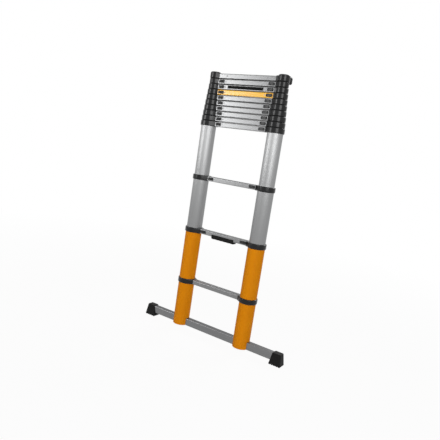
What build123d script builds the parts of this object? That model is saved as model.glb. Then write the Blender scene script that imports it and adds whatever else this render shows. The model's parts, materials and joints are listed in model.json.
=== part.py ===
from build123d import *
import os
from math import radians, sin, sqrt

# Telescopic ladder with two of its sliding sections drawn out, standing upright on its stabiliser bar.
# Millimetres. X runs along the rungs, -Y is the climber's side, +Z is up and the floor is Z = 0.

# Layout of the rungs
rung_count = 13
top_base_rung = 2  # rungs 1 and 2 belong to the base, each higher one to a sliding section of its own
top_drawn_rung = 4  # the rungs above this one lie stacked on it
painted_rung = 10  # marks the highest rung to stand on
plated_rung = 11
rung_pitch = 295.0
first_rung_height = 280.0
stile_spacing = 407.0

# Stile tubes, each sliding inside the one below it
base_tube_radius = 45.0
tube_wall = 1.5
tube_clearance = 0.6
tube_overlap = 75.0  # length that stays below the collar when a section is drawn out
tube_recess = 1.0  # from the collar's top down to the end of its tube

# Collars on the tubes, with a boss that butts on the rung and a tongue inside it
collar_wall = 5.0
collar_rise = 1.15  # height above and below the rung
collar_gap = 0.2
boss_reach = 10.0  # from the tube's surface to the end of the rung
boss_lip = 1.4
boss_spread = 40.0  # degrees round the collar that the root of the boss covers, each way
seat_clearance = 0.05
tongue_clearance = 0.15
tongue_end_wall = 6.0

# Caps that close the topmost tubes, stouter than the collars and with a rounded crown
cap_wall = 8.0
cap_reach = 14.5  # from the tube's surface to the end of the top rung
crown_height = 6.5
crown_round = 6.0

# Rungs, a hollow extrusion with a grooved tread
rung_depth = 35.0
rung_height = 25.5
rung_wall = 1.8
rung_top_round = 4.0
rung_bottom_round = 2.5
groove_count = 5
groove_pitch = 5.0
groove_width = 1.8
groove_depth = 0.8

# Release levers, whose slider carries the lock bolt
lever_travel = 9.0
lever_clearance = 0.4
pad_length = 23.0
pad_height = 12.4
pad_proud = 4.0
pad_low = 1.5
pad_crest = 6.0
slot_start = 5.0  # from the end of the rung
slider_plate = 4.0
slider_height = 14.0
slider_overrun = 2.0
block_length = 14.0
bolt_width = 8.0
bolt_height = 6.0
bolt_short = 0.5  # gap between the bolt's tip and the next tube

# Stabiliser bar through the stile bottoms, with its feet
bar_depth = 31.0
bar_height = 40.0
bar_wall = 2.0
bar_corner = 2.5
bar_bottom = 19.5
bar_clearance = 0.15
foot_inner = 399.0
foot_top_length = 46.5
foot_top_wall = 4.0
foot_side_wall = 4.0
foot_end_wall = 6.0
foot_inner_flare = 13.0
foot_outer_flare = 8.5
foot_side_flare = 7.0
foot_bevel = 5.0
sole_groove_count = 4
sole_groove_pitch = 13.5
sole_groove_width = 4.0
sole_groove_depth = 2.5
insert_wall = 4.0
insert_roof = 8.0
insert_core_length = 36.0
bar_bolt_flats = 13.0
bar_bolt_head = 5.0
bar_bolt_radius = 4.0
bar_bolt_clearance = 0.2

# Trim
grip_length = 140.0
grip_side = 2.5
grip_base = 13.0
grip_reach = 11.5  # how far its sides come up the rung
grip_round = 9.0
plate_length = 213.0
plate_height = 15.0
plate_thickness = 1.0
lug_width = 20.0
lug_height = 18.0
lug_length = 14.0
wall_pad_width = 38.0
wall_pad_height = 36.0
wall_pad_length = 29.1
wall_pad_gap = 2.0
wall_pad_lift = 2.0  # above the middle of the top rung
wall_pad_round = 8.0
wall_pad_bevel = 5.0

collar_height = rung_height + 2 * collar_rise
stack_pitch = collar_height + collar_gap
half_spacing = stile_spacing / 2
tube_step = tube_wall + tube_clearance
tube_top = collar_height / 2 - tube_recess
slot_length = pad_length + lever_travel + 2 * lever_clearance
slider_length = slot_start + slot_length + slider_overrun
pocket_length = slider_length + lever_travel + lever_clearance
tongue_length = pocket_length + tongue_end_wall
half_bolt_space = bolt_height / 2 + lever_clearance
bar_end = foot_inner + foot_top_length - foot_end_wall
bar_middle = bar_bottom + bar_height / 2


def height_of(rung):
    drawn = min(rung, top_drawn_rung) - 1
    stacked = max(rung - top_drawn_rung, 0)
    return first_rung_height + drawn * rung_pitch + stacked * stack_pitch


def radius_of(rung):
    return base_tube_radius - max(rung - top_base_rung, 0) * tube_step


def has_levers(rung):
    return top_base_rung <= rung < rung_count


def span(x0, x1, y0, y1, z0, z1):
    middle = Pos((x0 + x1) / 2, (y0 + y1) / 2, (z0 + z1) / 2)
    return middle * Box(x1 - x0, y1 - y0, z1 - z0)


# Right-hand pieces stand round their stile's axis, with the rung towards -X. The left one mirrors them.
def on_right(piece, height):
    return Pos(half_spacing, 0, height) * piece


def on_left(piece, height):
    return Pos(-half_spacing, 0, height) * mirror(piece, about=Plane.YZ)


def on_both(piece, height):
    return [on_left(piece, height), on_right(piece, height)]


def bolt_space(radius, bottom, top):
    half_width = bolt_width / 2 + lever_clearance
    return span(-radius - collar_wall, 0, -half_width, half_width, bottom, top)


def tube(radius, bottom, top):
    ring = Circle(radius) - Circle(radius - tube_wall)
    return Pos(0, 0, bottom) * extrude(ring, top - bottom)


# A section's tube is measured from the middle of its own rung. It has the lock window that the bolt
# of the rung below enters when the section is drawn out, and a notch at the top for its own rung's bolt.
def section_tube(rung):
    radius = radius_of(rung)
    body = tube(radius, -rung_pitch - tube_overlap, tube_top)
    body -= bolt_space(radius, -rung_pitch - half_bolt_space, -rung_pitch + half_bolt_space)
    if has_levers(rung):
        body -= bolt_space(radius, -half_bolt_space, collar_height / 2)
    return body


def base_stile():
    middle = height_of(top_base_rung)
    body = tube(base_tube_radius, bar_bottom, middle + tube_top)
    body -= bolt_space(base_tube_radius, middle - half_bolt_space, middle + collar_height / 2)
    body -= bar_space(base_tube_radius + bar_clearance)
    return body - bar_bolt_hole()


def bar_space(half_length):
    half_depth = bar_depth / 2 + bar_clearance
    top = bar_bottom + bar_height + bar_clearance
    return span(-half_length, half_length, -half_depth, half_depth, bar_bottom - bar_clearance, top)


def bar_bolt_hole():
    hole = Cylinder(bar_bolt_radius + bar_bolt_clearance, base_tube_radius)
    return Pos(0, base_tube_radius / 2, bar_middle) * Rot(X=90) * hole


def collar_outline(radius, wall, reach):
    outer = radius + wall
    half_end = rung_depth / 2 + boss_lip
    half_root = max(half_end, outer * sin(radians(boss_spread)))
    root = -sqrt(max(outer**2 - half_root**2, 0))
    end = -radius - reach
    boss = Polyline((end, -half_end), (end, half_end), (root, half_root), (root, -half_root), close=True)
    return Circle(outer) + make_face(boss)


def tongue(radius, reach, pocket):
    start = -radius - reach
    half_depth = rung_depth / 2 - rung_wall - tongue_clearance
    half_height = rung_height / 2 - rung_wall - tongue_clearance
    body = span(start - tongue_length, start, -half_depth, half_depth, -half_height, half_height)
    if pocket:
        half_pocket = slider_height / 2 + lever_clearance
        back = bolt_width / 2 + lever_clearance
        body -= span(start - pocket_length, start, -half_depth, back, -half_pocket, half_pocket)
    return body


def collar(radius, pocket):
    ring = extrude(collar_outline(radius, collar_wall, boss_reach), collar_height / 2, both=True)
    ring -= Cylinder(radius + seat_clearance, collar_height)
    if pocket:
        ring -= bolt_space(radius + boss_reach, -half_bolt_space, half_bolt_space)
    return ring + tongue(radius, boss_reach, pocket)


def top_cap(radius):
    outer = radius + cap_wall
    crown = Pos(0, 0, crown_height / 2) * Cylinder(outer, collar_height + crown_height)
    crown = fillet(crown.edges().group_by(Axis.Z)[-1], crown_round)
    body = crown + extrude(collar_outline(radius, cap_wall, cap_reach), collar_height / 2, both=True)
    lug_top = lug_height / 2 + wall_pad_lift
    body += span(-lug_width / 2, lug_width / 2, radius, outer + lug_length, lug_top - lug_height, lug_top)
    body -= Pos(0, 0, -tube_recess / 2) * Cylinder(radius + seat_clearance, collar_height - tube_recess)
    return body + tongue(radius, cap_reach, False)


def wall_pad(radius):
    front = radius + cap_wall + wall_pad_gap
    lug_end = radius + cap_wall + lug_length + tongue_clearance
    half_width = lug_width / 2 + tongue_clearance
    half_height = lug_height / 2 + tongue_clearance
    outline = RectangleRounded(wall_pad_width, wall_pad_height, wall_pad_round)
    block = extrude(outline, wall_pad_length)
    block = chamfer(block.edges().group_by(Axis.Z)[-1], wall_pad_bevel)
    body = Pos(0, front, 0) * Rot(X=-90) * block
    body -= span(-half_width, half_width, radius, lug_end, -half_height, half_height)
    return Pos(0, 0, wall_pad_lift) * body


def rung_profile():
    outer = Rectangle(rung_depth, rung_height)
    outer = fillet(outer.vertices().group_by(Axis.Y)[-1], rung_top_round)
    outer = fillet(outer.vertices().group_by(Axis.Y)[0], rung_bottom_round)
    return outer


def rung_half_length(rung):
    reach = cap_reach if rung == rung_count else boss_reach
    return half_spacing - radius_of(rung) - reach


def rung_bar(rung):
    half_length = rung_half_length(rung)
    profile = rung_profile() - Rectangle(rung_depth - 2 * rung_wall, rung_height - 2 * rung_wall)
    for place in GridLocations(groove_pitch, 0, groove_count, 1):
        groove = Rectangle(groove_width, 2 * groove_depth)
        profile -= Pos(0, rung_height / 2) * place * groove
    body = extrude(Plane.YZ * profile, half_length, both=True)
    if has_levers(rung):
        half_slot = pad_height / 2 + lever_clearance
        front = -rung_depth / 2
        slot_end = half_length - slot_start
        slot = span(slot_end - slot_length, slot_end, front, front + rung_wall, -half_slot, half_slot)
        body -= slot
        body -= mirror(slot, about=Plane.YZ)
    return Pos(0, 0, height_of(rung)) * body


# Lengths along the lever run from the end of the rung towards its middle.
def lever(rung):
    radius = radius_of(rung)
    start = -radius - boss_reach
    front = -rung_depth / 2
    plate_front = front + rung_wall + lever_clearance
    plate_back = plate_front + slider_plate
    slider_start = start - lever_clearance
    slider_end = start - slider_length
    block_end = slider_start - block_length
    half_width = bolt_width / 2
    slider = Polyline(
        (slider_start, plate_front),
        (slider_end, plate_front),
        (slider_end, plate_back),
        (block_end, plate_back),
        (block_end, half_width),
        (slider_start, half_width),
        close=True,
    )
    pad_start = start - slot_start - lever_clearance
    pad_end = pad_start - pad_length
    thumb_pad = Polyline(
        (pad_start, plate_front),
        (pad_start, front - pad_proud),
        (pad_start - pad_crest, front - pad_proud),
        (pad_end, front - pad_low),
        (pad_end, plate_front),
        close=True,
    )
    tip = -radius_of(rung + 1) - bolt_short
    body = extrude(make_face(slider), slider_height / 2, both=True)
    body += extrude(make_face(thumb_pad), pad_height / 2, both=True)
    half_height = bolt_height / 2
    return body + span(block_end, tip, -half_width, half_width, -half_height, half_height)


def stabiliser_bar():
    outer = RectangleRounded(bar_depth, bar_height, bar_corner)
    inner = Rectangle(bar_depth - 2 * bar_wall, bar_height - 2 * bar_wall)
    body = Pos(0, 0, bar_middle) * extrude(Plane.YZ * (outer - inner), bar_end, both=True)
    for side in (-1, 1):
        body -= Pos(side * half_spacing, 0, 0) * bar_bolt_hole()
    return body


# A plug inside the stile's foot that saddles the bar, cored out from below on both sides of it.
def bar_insert():
    outer_radius = base_tube_radius - tube_wall - seat_clearance
    height = bar_height + insert_roof
    core_start = bar_depth / 2 + bar_clearance + insert_wall
    core_end = sqrt(outer_radius**2 - insert_core_length**2 / 4) - insert_wall
    half_core = insert_core_length / 2
    body = Pos(0, 0, bar_bottom + height / 2) * Cylinder(outer_radius, height)
    body -= bar_space(base_tube_radius)
    for y0, y1 in ((core_start, core_end), (-core_end, -core_start)):
        body -= span(-half_core, half_core, y0, y1, bar_bottom, bar_bottom + bar_height)
    return body - bar_bolt_hole()


def bar_bolt():
    head = extrude(RegularPolygon(bar_bolt_flats / 2, 6, major_radius=False), bar_bolt_head)
    shank = Pos(0, 0, -base_tube_radius / 2) * Cylinder(bar_bolt_radius, base_tube_radius)
    return Pos(0, base_tube_radius, 0) * Rot(X=-90) * (head + shank)


# The foot flares out to its sole, more towards the middle of the bar than at its outer end.
def foot():
    top = bar_bottom + bar_height + foot_top_wall
    foot_outer = foot_inner + foot_top_length
    half_top = bar_depth / 2 + foot_side_wall
    half_sole = half_top + foot_side_flare
    sole_start = foot_inner - foot_inner_flare
    sole_end = foot_outer + foot_outer_flare
    sole_middle = (sole_start + sole_end) / 2
    front_view = Polyline((sole_start, 0), (sole_end, 0), (foot_outer, top), (foot_inner, top), close=True)
    side_view = Polyline((-half_sole, 0), (half_sole, 0), (half_top, top), (-half_top, top), close=True)
    body = extrude(Plane.XZ * make_face(front_view), half_sole, both=True)
    body &= extrude(Plane.YZ * make_face(side_view), sole_end)
    corners = [edge for edge in body.edges() if edge.bounding_box().size.Z > top / 2]
    body = chamfer(corners, foot_bevel)
    for place in GridLocations(sole_groove_pitch, 0, sole_groove_count, 1):
        groove = Box(sole_groove_width, 4 * half_sole, 2 * sole_groove_depth)
        body -= Pos(sole_middle, 0, 0) * place * groove
    return body - bar_space(bar_end + bar_clearance)


def carry_grip():
    outer_height = grip_base + grip_reach
    bottom = -rung_height / 2 - grip_base
    outer = Rectangle(rung_depth + 2 * grip_side, outer_height)
    outer = fillet(outer.vertices().group_by(Axis.Y)[0], grip_round)
    profile = Pos(0, bottom + outer_height / 2) * outer - offset(rung_profile(), seat_clearance)
    body = extrude(Plane.YZ * profile, grip_length / 2, both=True)
    return Pos(0, 0, height_of(top_base_rung)) * body


def rung_plate():
    plate = Box(plate_length, plate_thickness, plate_height)
    middle = -(rung_depth + plate_thickness) / 2
    return Pos(0, middle, height_of(plated_rung)) * plate


os.makedirs("parts", exist_ok=True)


def save(name, pieces):
    group = pieces if isinstance(pieces, list) else [pieces]
    solids = [solid for piece in group for solid in piece.solids()]
    export_step(Compound(solids), f"parts/{name}.step")


# Base of the ladder
save("base_stile_left", on_left(base_stile(), 0))
save("base_stile_right", on_right(base_stile(), 0))
save("stabiliser_bar", stabiliser_bar())
save("bar_inserts", on_both(bar_insert(), 0))
save("bar_bolts", on_both(bar_bolt(), bar_middle))
save("foot_left", mirror(foot(), about=Plane.YZ))
save("foot_right", foot())
save("rung_01", rung_bar(1))
save("rung_01_clamps", on_both(collar(base_tube_radius, False), height_of(1)))
save("rung_02", rung_bar(2))
save("collars_02", on_both(collar(base_tube_radius, True), height_of(2)))
save("carry_grip", carry_grip())

# Sliding sections: tubes and rung of bare aluminium, collars of black plastic
for rung in range(top_base_rung + 1, rung_count + 1):
    tubes = on_both(section_tube(rung), height_of(rung))
    if rung == painted_rung:
        save(f"section_{rung:02d}_tubes", tubes)
        save(f"rung_{rung:02d}", rung_bar(rung))
    else:
        save(f"section_{rung:02d}_tubes_and_rung", tubes + [rung_bar(rung)])
    if rung == rung_count:
        save("top_caps", on_both(top_cap(radius_of(rung)), height_of(rung)))
        save("wall_pads", on_both(wall_pad(radius_of(rung)), height_of(rung)))
    else:
        save(f"collars_{rung:02d}", on_both(collar(radius_of(rung), True), height_of(rung)))
save(f"rung_{plated_rung:02d}_plate", rung_plate())

# Release levers at both ends of each rung that another section rises from
for rung in range(top_base_rung, rung_count):
    save(f"lever_{rung:02d}_left", on_left(lever(rung), height_of(rung)))
    save(f"lever_{rung:02d}_right", on_right(lever(rung), height_of(rung)))
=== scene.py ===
import json
import math
import bpy
import bmesh
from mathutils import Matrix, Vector

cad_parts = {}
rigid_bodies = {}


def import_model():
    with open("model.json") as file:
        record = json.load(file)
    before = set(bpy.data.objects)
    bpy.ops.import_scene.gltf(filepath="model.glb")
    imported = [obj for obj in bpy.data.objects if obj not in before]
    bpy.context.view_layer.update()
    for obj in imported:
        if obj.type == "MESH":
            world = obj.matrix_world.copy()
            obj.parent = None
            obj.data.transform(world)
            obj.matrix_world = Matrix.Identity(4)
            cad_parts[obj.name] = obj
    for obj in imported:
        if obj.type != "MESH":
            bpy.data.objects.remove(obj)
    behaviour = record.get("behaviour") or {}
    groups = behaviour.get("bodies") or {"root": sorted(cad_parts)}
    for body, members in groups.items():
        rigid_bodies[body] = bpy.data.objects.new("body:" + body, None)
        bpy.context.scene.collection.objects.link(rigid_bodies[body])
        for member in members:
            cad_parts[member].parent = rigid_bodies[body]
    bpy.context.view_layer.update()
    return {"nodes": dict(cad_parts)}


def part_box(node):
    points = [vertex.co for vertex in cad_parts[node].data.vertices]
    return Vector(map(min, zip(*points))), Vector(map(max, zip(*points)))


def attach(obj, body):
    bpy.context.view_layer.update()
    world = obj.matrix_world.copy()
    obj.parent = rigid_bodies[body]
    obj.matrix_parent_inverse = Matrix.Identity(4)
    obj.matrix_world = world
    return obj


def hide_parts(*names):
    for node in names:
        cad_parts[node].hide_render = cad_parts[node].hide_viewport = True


# Telescopic ladder, two sections drawn out. Metres, X along the rungs, the climber stands on the -Y side.

for leftover in list(bpy.data.objects):
    bpy.data.objects.remove(leftover, do_unlink=True)

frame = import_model()
scene = bpy.context.scene
mm = 0.001


# ladder layout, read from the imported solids
ladder = {
    "rungs": 13,
    "topBaseRung": 2,  # rungs 1 and 2 stand on the base, each higher one has its own section
    "paintedRung": 10,
    "platedRung": 11,
    "capReach": 14.5 * mm,  # the top caps reach further along their rung than the collars
}

rungLow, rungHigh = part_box("rung_01")
clampLow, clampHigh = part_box("rung_01_clamps")
stileLow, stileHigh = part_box("base_stile_right")
stileX = (stileLow.x + stileHigh.x) / 2
baseRadius = (stileHigh.x - stileLow.x) / 2
collarHeight = clampHigh.z - clampLow.z
rungDepth = rungHigh.y - rungLow.y
rungTall = rungHigh.z - rungLow.z
rungFront = -rungDepth / 2
bossReach = stileX - baseRadius - rungHigh.x


def rungFacts(number):
    tag = f"{number:02d}"
    onBase = number <= ladder["topBaseRung"]
    painted = number == ladder["paintedRung"]
    top = number == ladder["rungs"]
    collarNode = "rung_01_clamps" if number == 1 else "top_caps" if top else f"collars_{tag}"
    tubeNode = None if onBase else f"section_{tag}_tubes" + ("" if painted else "_and_rung")
    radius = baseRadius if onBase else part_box(tubeNode)[1].x - stileX
    reach = ladder["capReach"] if top else bossReach
    return {
        "number": number,
        "tag": tag,
        "top": top,
        "painted": painted,
        "levers": ladder["topBaseRung"] <= number and not top,
        "body": "base" if onBase else f"section_{tag}",
        "collarNode": collarNode,
        "tubeNode": tubeNode,
        "rungNode": f"rung_{tag}" if onBase or painted else tubeNode,
        "radius": radius,
        "collarWall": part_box(collarNode)[1].x - stileX - radius,
        "reach": reach,
        "half": stileX - radius - reach,
        "z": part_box(collarNode)[0].z + collarHeight / 2,
    }


rungs = [rungFacts(number) for number in range(1, ladder["rungs"] + 1)]
print("layout: stiles", round(2 * stileX, 4), "apart, top rung at", round(rungs[-1]["z"], 4))


# mesh helpers
sharpAngle = 40  # faces that meet at more degrees than this keep a sharp edge


def roundedOutline(corners, steps=4):  # corners are (x, y, radius), counter-clockwise
    points = []
    for i, (x, y, radius) in enumerate(corners):
        here = Vector((x, y))
        if radius <= 0:
            points.append(here)
            continue
        before = (Vector(corners[i - 1][:2]) - here).normalized()
        after = (Vector(corners[(i + 1) % len(corners)][:2]) - here).normalized()
        half = before.angle(after) / 2
        centre = here + (before + after).normalized() * (radius / math.sin(half))
        start = here + before * (radius / math.tan(half)) - centre
        end = here + after * (radius / math.tan(half)) - centre
        for step in range(steps + 1):
            points.append(centre + start.lerp(end, step / steps).normalized() * radius)
    return points


def roundedBox(x0, x1, y0, y1, radius, steps=6):
    return roundedOutline([(x0, y0, radius), (x1, y0, radius), (x1, y1, radius), (x0, y1, radius)], steps)


def insetOutline(points, depth, shares=None):  # moves a counter-clockwise outline inwards
    moved = []
    for i, here in enumerate(points):
        into = (here - points[i - 1]).normalized()
        out = (points[(i + 1) % len(points)] - here).normalized()
        normal = Vector((-into.y - out.y, into.x + out.x)).normalized()
        lean = max(normal.dot(Vector((-out.y, out.x))), 0.5)  # a corner moves twice the depth at most
        moved.append(here + normal * (depth / lean * (shares[i] if shares else 1)))
    return moved


def quarterRound(size, steps=4):  # (inset, drop) from the side of a rounded edge to its flat
    turns = [math.pi / 2 * i / steps for i in range(steps + 1)]
    return [(size * (1 - math.cos(a)), size * (1 - math.sin(a))) for a in turns]


def softEdge(edge):  # (inset, drop) from the flat of a small soft edge to its side
    return [(edge, 0), (0.3 * edge, 0.3 * edge), (0, edge)]


def frontRings(inner, outer, out, edge):  # (outline, place) over the soft front of a frame
    return [(inner, out + edge), (insetOutline(inner, -edge), out),
            (insetOutline(outer, edge), out), (outer, out + edge)]


def loftRings(bm, rings, wrap=False):  # closed skin over rings of equal length
    rows = [[bm.verts.new(point) for point in ring] for ring in rings]
    count = len(rows[0])
    pairs = list(zip(rows, rows[1:])) + ([(rows[-1], rows[0])] if wrap else [])
    for lower, upper in pairs:
        for i in range(count):
            j = (i + 1) % count
            bm.faces.new((lower[i], lower[j], upper[j], upper[i]))
    if not wrap:
        bm.faces.new(rows[0][::-1])
        bm.faces.new(rows[-1])


def loftFace(bm, face, levels):  # an (x, z) outline lofted along Y, levels are (y, inset)
    loftRings(bm, [[Vector((p.x, y, p.y)) for p in insetOutline(face, inset)] for y, inset in levels])


def latheRings(profile, count):  # profile is (radius, height) from the bottom up, about Z
    turns = [2 * math.pi * i / count for i in range(count)]
    return [[Vector((r * math.cos(a), r * math.sin(a), z)) for a in turns] for r, z in profile]


def smoothMesh(mesh, angle=sharpAngle):
    mesh.shade_smooth()
    mesh.set_sharp_from_angle(angle=math.radians(angle))


def meshFrom(bm, name, material, angle=sharpAngle):
    bmesh.ops.remove_doubles(bm, verts=bm.verts, dist=1e-6)
    bmesh.ops.recalc_face_normals(bm, faces=bm.faces)
    mesh = bpy.data.meshes.new(name)
    bm.to_mesh(mesh)
    bm.free()
    if material:
        mesh.materials.append(material)
    smoothMesh(mesh, angle)
    return mesh


def layGrain(mesh, along):  # a map whose U runs across the drawn lines, where highlights stretch
    layer = mesh.uv_layers.new(name="grain")
    for face in mesh.polygons:
        across = face.normal.cross(along)
        across = across.normalized() if across.length > 1e-4 else along.orthogonal().normalized()
        for loop in face.loop_indices:
            spot = mesh.vertices[mesh.loops[loop].vertex_index].co
            layer.data[loop].uv = (spot.dot(across), spot.dot(along))


def linkPiece(data):  # the object has the name of its data
    piece = bpy.data.objects.new(data.name, data)
    scene.collection.objects.link(piece)
    return piece


def settlePiece(piece, body, slot, *nodes):
    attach(piece, body)
    if nodes:
        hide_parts(*nodes)


def bakeModifiers(piece):
    graph = bpy.context.evaluated_depsgraph_get()
    graph.update()
    mesh = bpy.data.meshes.new_from_object(piece.evaluated_get(graph), depsgraph=graph)
    piece.modifiers.clear()
    old = piece.data
    piece.data = mesh
    bpy.data.meshes.remove(old)
    mesh.name = piece.name


def firmNormals(piece):  # flat faces keep their own direction beside small rounds
    piece.modifiers.new("firm", "WEIGHTED_NORMAL").keep_sharp = True
    bakeModifiers(piece)


def finishNode(node, material):  # for a CAD solid that stays in the scene
    frame["nodes"][node].material_slots[0].material = material


# node helpers
def fillInputs(tree, node, values):  # links what comes from a socket and writes what is a plain value
    for label, value in values.items():
        if isinstance(value, bpy.types.NodeSocket):
            tree.links.new(value, node.inputs[label])
        else:
            node.inputs[label].default_value = value


def addNode(tree, kind, values=None, **settings):
    node = tree.nodes.new(kind)
    for key, value in settings.items():
        setattr(node, key, value)
    fillInputs(tree, node, values or {})
    return node


def calc(tree, operation, a, b):
    return addNode(tree, "ShaderNodeMath", {0: a, 1: b}, operation=operation).outputs[0]


def spread(tree, value, fromLow, fromHigh, toLow=0.0, toHigh=1.0):  # from one range to another
    values = {"Value": value, "From Min": fromLow, "From Max": fromHigh, "To Min": toLow, "To Max": toHigh}
    return addNode(tree, "ShaderNodeMapRange", values).outputs["Result"]


def mixColour(tree, factor, a, b):
    return addNode(tree, "ShaderNodeMix", {0: factor, 6: a, 7: b}, data_type="RGBA").outputs[2]


def noise(tree, vector, scale, detail=2.0, roughness=0.5):
    values = {"Vector": vector, "Scale": scale, "Detail": detail, "Roughness": roughness}
    return addNode(tree, "ShaderNodeTexNoise", values).outputs[0]


def newGroup(name, kind, inputs, outputs):  # sockets are (label, type)
    group = bpy.data.node_groups.new(name, kind)
    keys = {}
    for way, sockets in (("INPUT", inputs), ("OUTPUT", outputs)):
        for label, socketType in sockets:
            socket = group.interface.new_socket(label, in_out=way, socket_type="NodeSocket" + socketType)
            keys[label] = socket.identifier
    return group, group.nodes.new("NodeGroupInput").outputs, group.nodes.new("NodeGroupOutput"), keys


# surface effects that several finishes share
def effectGroup(name, inputs, outputs):  # from coordinates and a few values to masks
    inputs = [("Coordinates", "Vector")] + inputs
    return newGroup(name, "ShaderNodeTree", inputs, [(label, "Float") for label in outputs])[:3]


def drawnLinesGroup():
    inputs = [("Stretch", "Vector"), ("Cloud Scale", "Float")]
    group, given, leave = effectGroup("drawnLines", inputs, ["Lines", "Scratch", "Cloud"])
    stretched = {0: given["Coordinates"], 1: given["Stretch"]}
    along = addNode(group, "ShaderNodeVectorMath", stretched, operation="MULTIPLY").outputs[0]
    fine = noise(group, along, scale=1.0, detail=3.0, roughness=0.6)
    rare = noise(group, along, scale=0.23, detail=1.0, roughness=0.4)
    cloud = noise(group, given["Coordinates"], given["Cloud Scale"])
    fillInputs(group, leave, {
        "Lines": spread(group, fine, 0.32, 0.68),
        "Scratch": spread(group, rare, 0.64, 0.74),
        "Cloud": spread(group, cloud, 0.3, 0.7),
    })
    return group


def mouldedSkinGroup():
    inputs = [("Grain Scale", "Float")]
    group, given, leave = effectGroup("mouldedSkin", inputs, ["Height", "Speckle", "Cloud"])
    place = given["Coordinates"]
    grain = noise(group, place, given["Grain Scale"], roughness=0.6)
    pits = addNode(group, "ShaderNodeTexVoronoi", {"Vector": place, "Scale": given["Grain Scale"]})
    depth = calc(group, "MULTIPLY", pits.outputs["Distance"], 0.5)
    cloud = noise(group, place, scale=22.0, detail=3.0)
    fillInputs(group, leave, {
        "Height": calc(group, "ADD", depth, grain),
        "Speckle": spread(group, grain, 0.35, 0.65),
        "Cloud": spread(group, cloud, 0.3, 0.7),
    })
    return group


def edgeRubGroup():
    group, given, leave = effectGroup("edgeRub", [("Start", "Float"), ("Full", "Float")], ["Mask"])
    shape = addNode(group, "ShaderNodeNewGeometry").outputs["Pointiness"]
    edge = spread(group, shape, given["Start"], given["Full"])
    patches = noise(group, given["Coordinates"], scale=160.0, detail=4.0, roughness=0.7)
    broken = spread(group, patches, 0.38, 0.62, 0.15)
    fillInputs(group, leave, {"Mask": calc(group, "MULTIPLY", edge, broken)})
    return group


def settledDustGroup():
    group, given, leave = effectGroup("settledDust", [("Amount", "Float")], ["Mask"])
    facing = addNode(group, "ShaderNodeNewGeometry").outputs["Normal"]
    upward = addNode(group, "ShaderNodeSeparateXYZ", {0: facing}).outputs["Z"]
    shelf = spread(group, upward, 0.2, 0.95, 0.15)
    patches = noise(group, given["Coordinates"], scale=60.0, detail=5.0, roughness=0.65)
    lying = calc(group, "MULTIPLY", shelf, spread(group, patches, 0.42, 0.7))
    fillInputs(group, leave, {"Mask": calc(group, "MULTIPLY", lying, given["Amount"])})
    return group


drawnLines = drawnLinesGroup()
mouldedSkin = mouldedSkinGroup()
edgeRub = edgeRubGroup()
settledDust = settledDustGroup()


# finishes
def newFinish(name):
    material = bpy.data.materials.new(name)
    material.use_nodes = True
    tree = material.node_tree
    place = addNode(tree, "ShaderNodeTexCoord").outputs["Object"]
    return material, tree, tree.nodes["Principled BSDF"], place


def useGroup(tree, group, place, values):
    return addNode(tree, "ShaderNodeGroup", {"Coordinates": place, **values}, node_tree=group).outputs


def layOver(tree, tone, mask, share, colour):  # another colour over a tone, where the mask is
    return mixColour(tree, calc(tree, "MULTIPLY", mask, share), tone, colour)


def roughen(tree, gloss, mask, amount):
    return calc(tree, "ADD", gloss, calc(tree, "MULTIPLY", mask, amount))


def dustOver(tree, shader, place, look, tone, gloss):  # gives the shader its dusty colour and gloss
    dust = useGroup(tree, settledDust, place, {"Amount": look["dust"]})["Mask"]
    fillInputs(tree, shader, {
        "Base Color": mixColour(tree, dust, tone, look["dustColour"]),
        "Roughness": roughen(tree, gloss, dust, look["dustGloss"]),
    })
    return dust


def relief(tree, height, strength, distance):
    values = {"Height": height, "Strength": strength, "Distance": distance}
    return addNode(tree, "ShaderNodeBump", values).outputs["Normal"]


def metalFinish(name, look):
    material, tree, shader, place = newFinish(name)
    lines = useGroup(tree, drawnLines, place, {"Stretch": look["stretch"], "Cloud Scale": look["cloudScale"]})
    tone = mixColour(tree, lines["Lines"], look["dark"], look["light"])
    tone = layOver(tree, tone, lines["Cloud"], look["hazeShare"], look["haze"])
    gloss = spread(tree, lines["Lines"], 0, 1, *look["gloss"])
    gloss = roughen(tree, gloss, lines["Scratch"], look["scratchGloss"])
    dust = dustOver(tree, shader, place, look, tone, gloss)
    fillInputs(tree, shader, {
        "Metallic": calc(tree, "SUBTRACT", 1.0, dust),
        "Specular Tint": look["rim"],
        "Normal": relief(tree, lines["Lines"], look["bump"], look["bumpDepth"]),
    })
    if look["grain"]:
        across = addNode(tree, "ShaderNodeTangent", direction_type="UV_MAP", uv_map="grain")
        fillInputs(tree, shader, {"Anisotropic": look["grain"], "Tangent": across.outputs[0]})
    return material


# the low tones of these aluminium finishes, the rivets' too, are painted shade: far darker than bare
# aluminium, so the white surroundings the metal reflects come out a mid grey
tubeLook = {
    "stretch": (700, 700, 5), "cloudScale": 5.0, "grain": 0.85,
    "dark": (0.25, 0.252, 0.254, 1), "light": (0.29, 0.292, 0.294, 1),
    "haze": (0.27, 0.272, 0.274, 1), "hazeShare": 0.5,
    "dust": 0.0, "dustColour": (0.4, 0.38, 0.35, 1), "dustGloss": 0.3,
    "gloss": (0.35, 0.42), "scratchGloss": -0.06, "bump": 0.2, "bumpDepth": 0.05 * mm,
    "rim": (1, 1, 1, 1),  # tint of the metal where it is seen flat along
}
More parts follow.
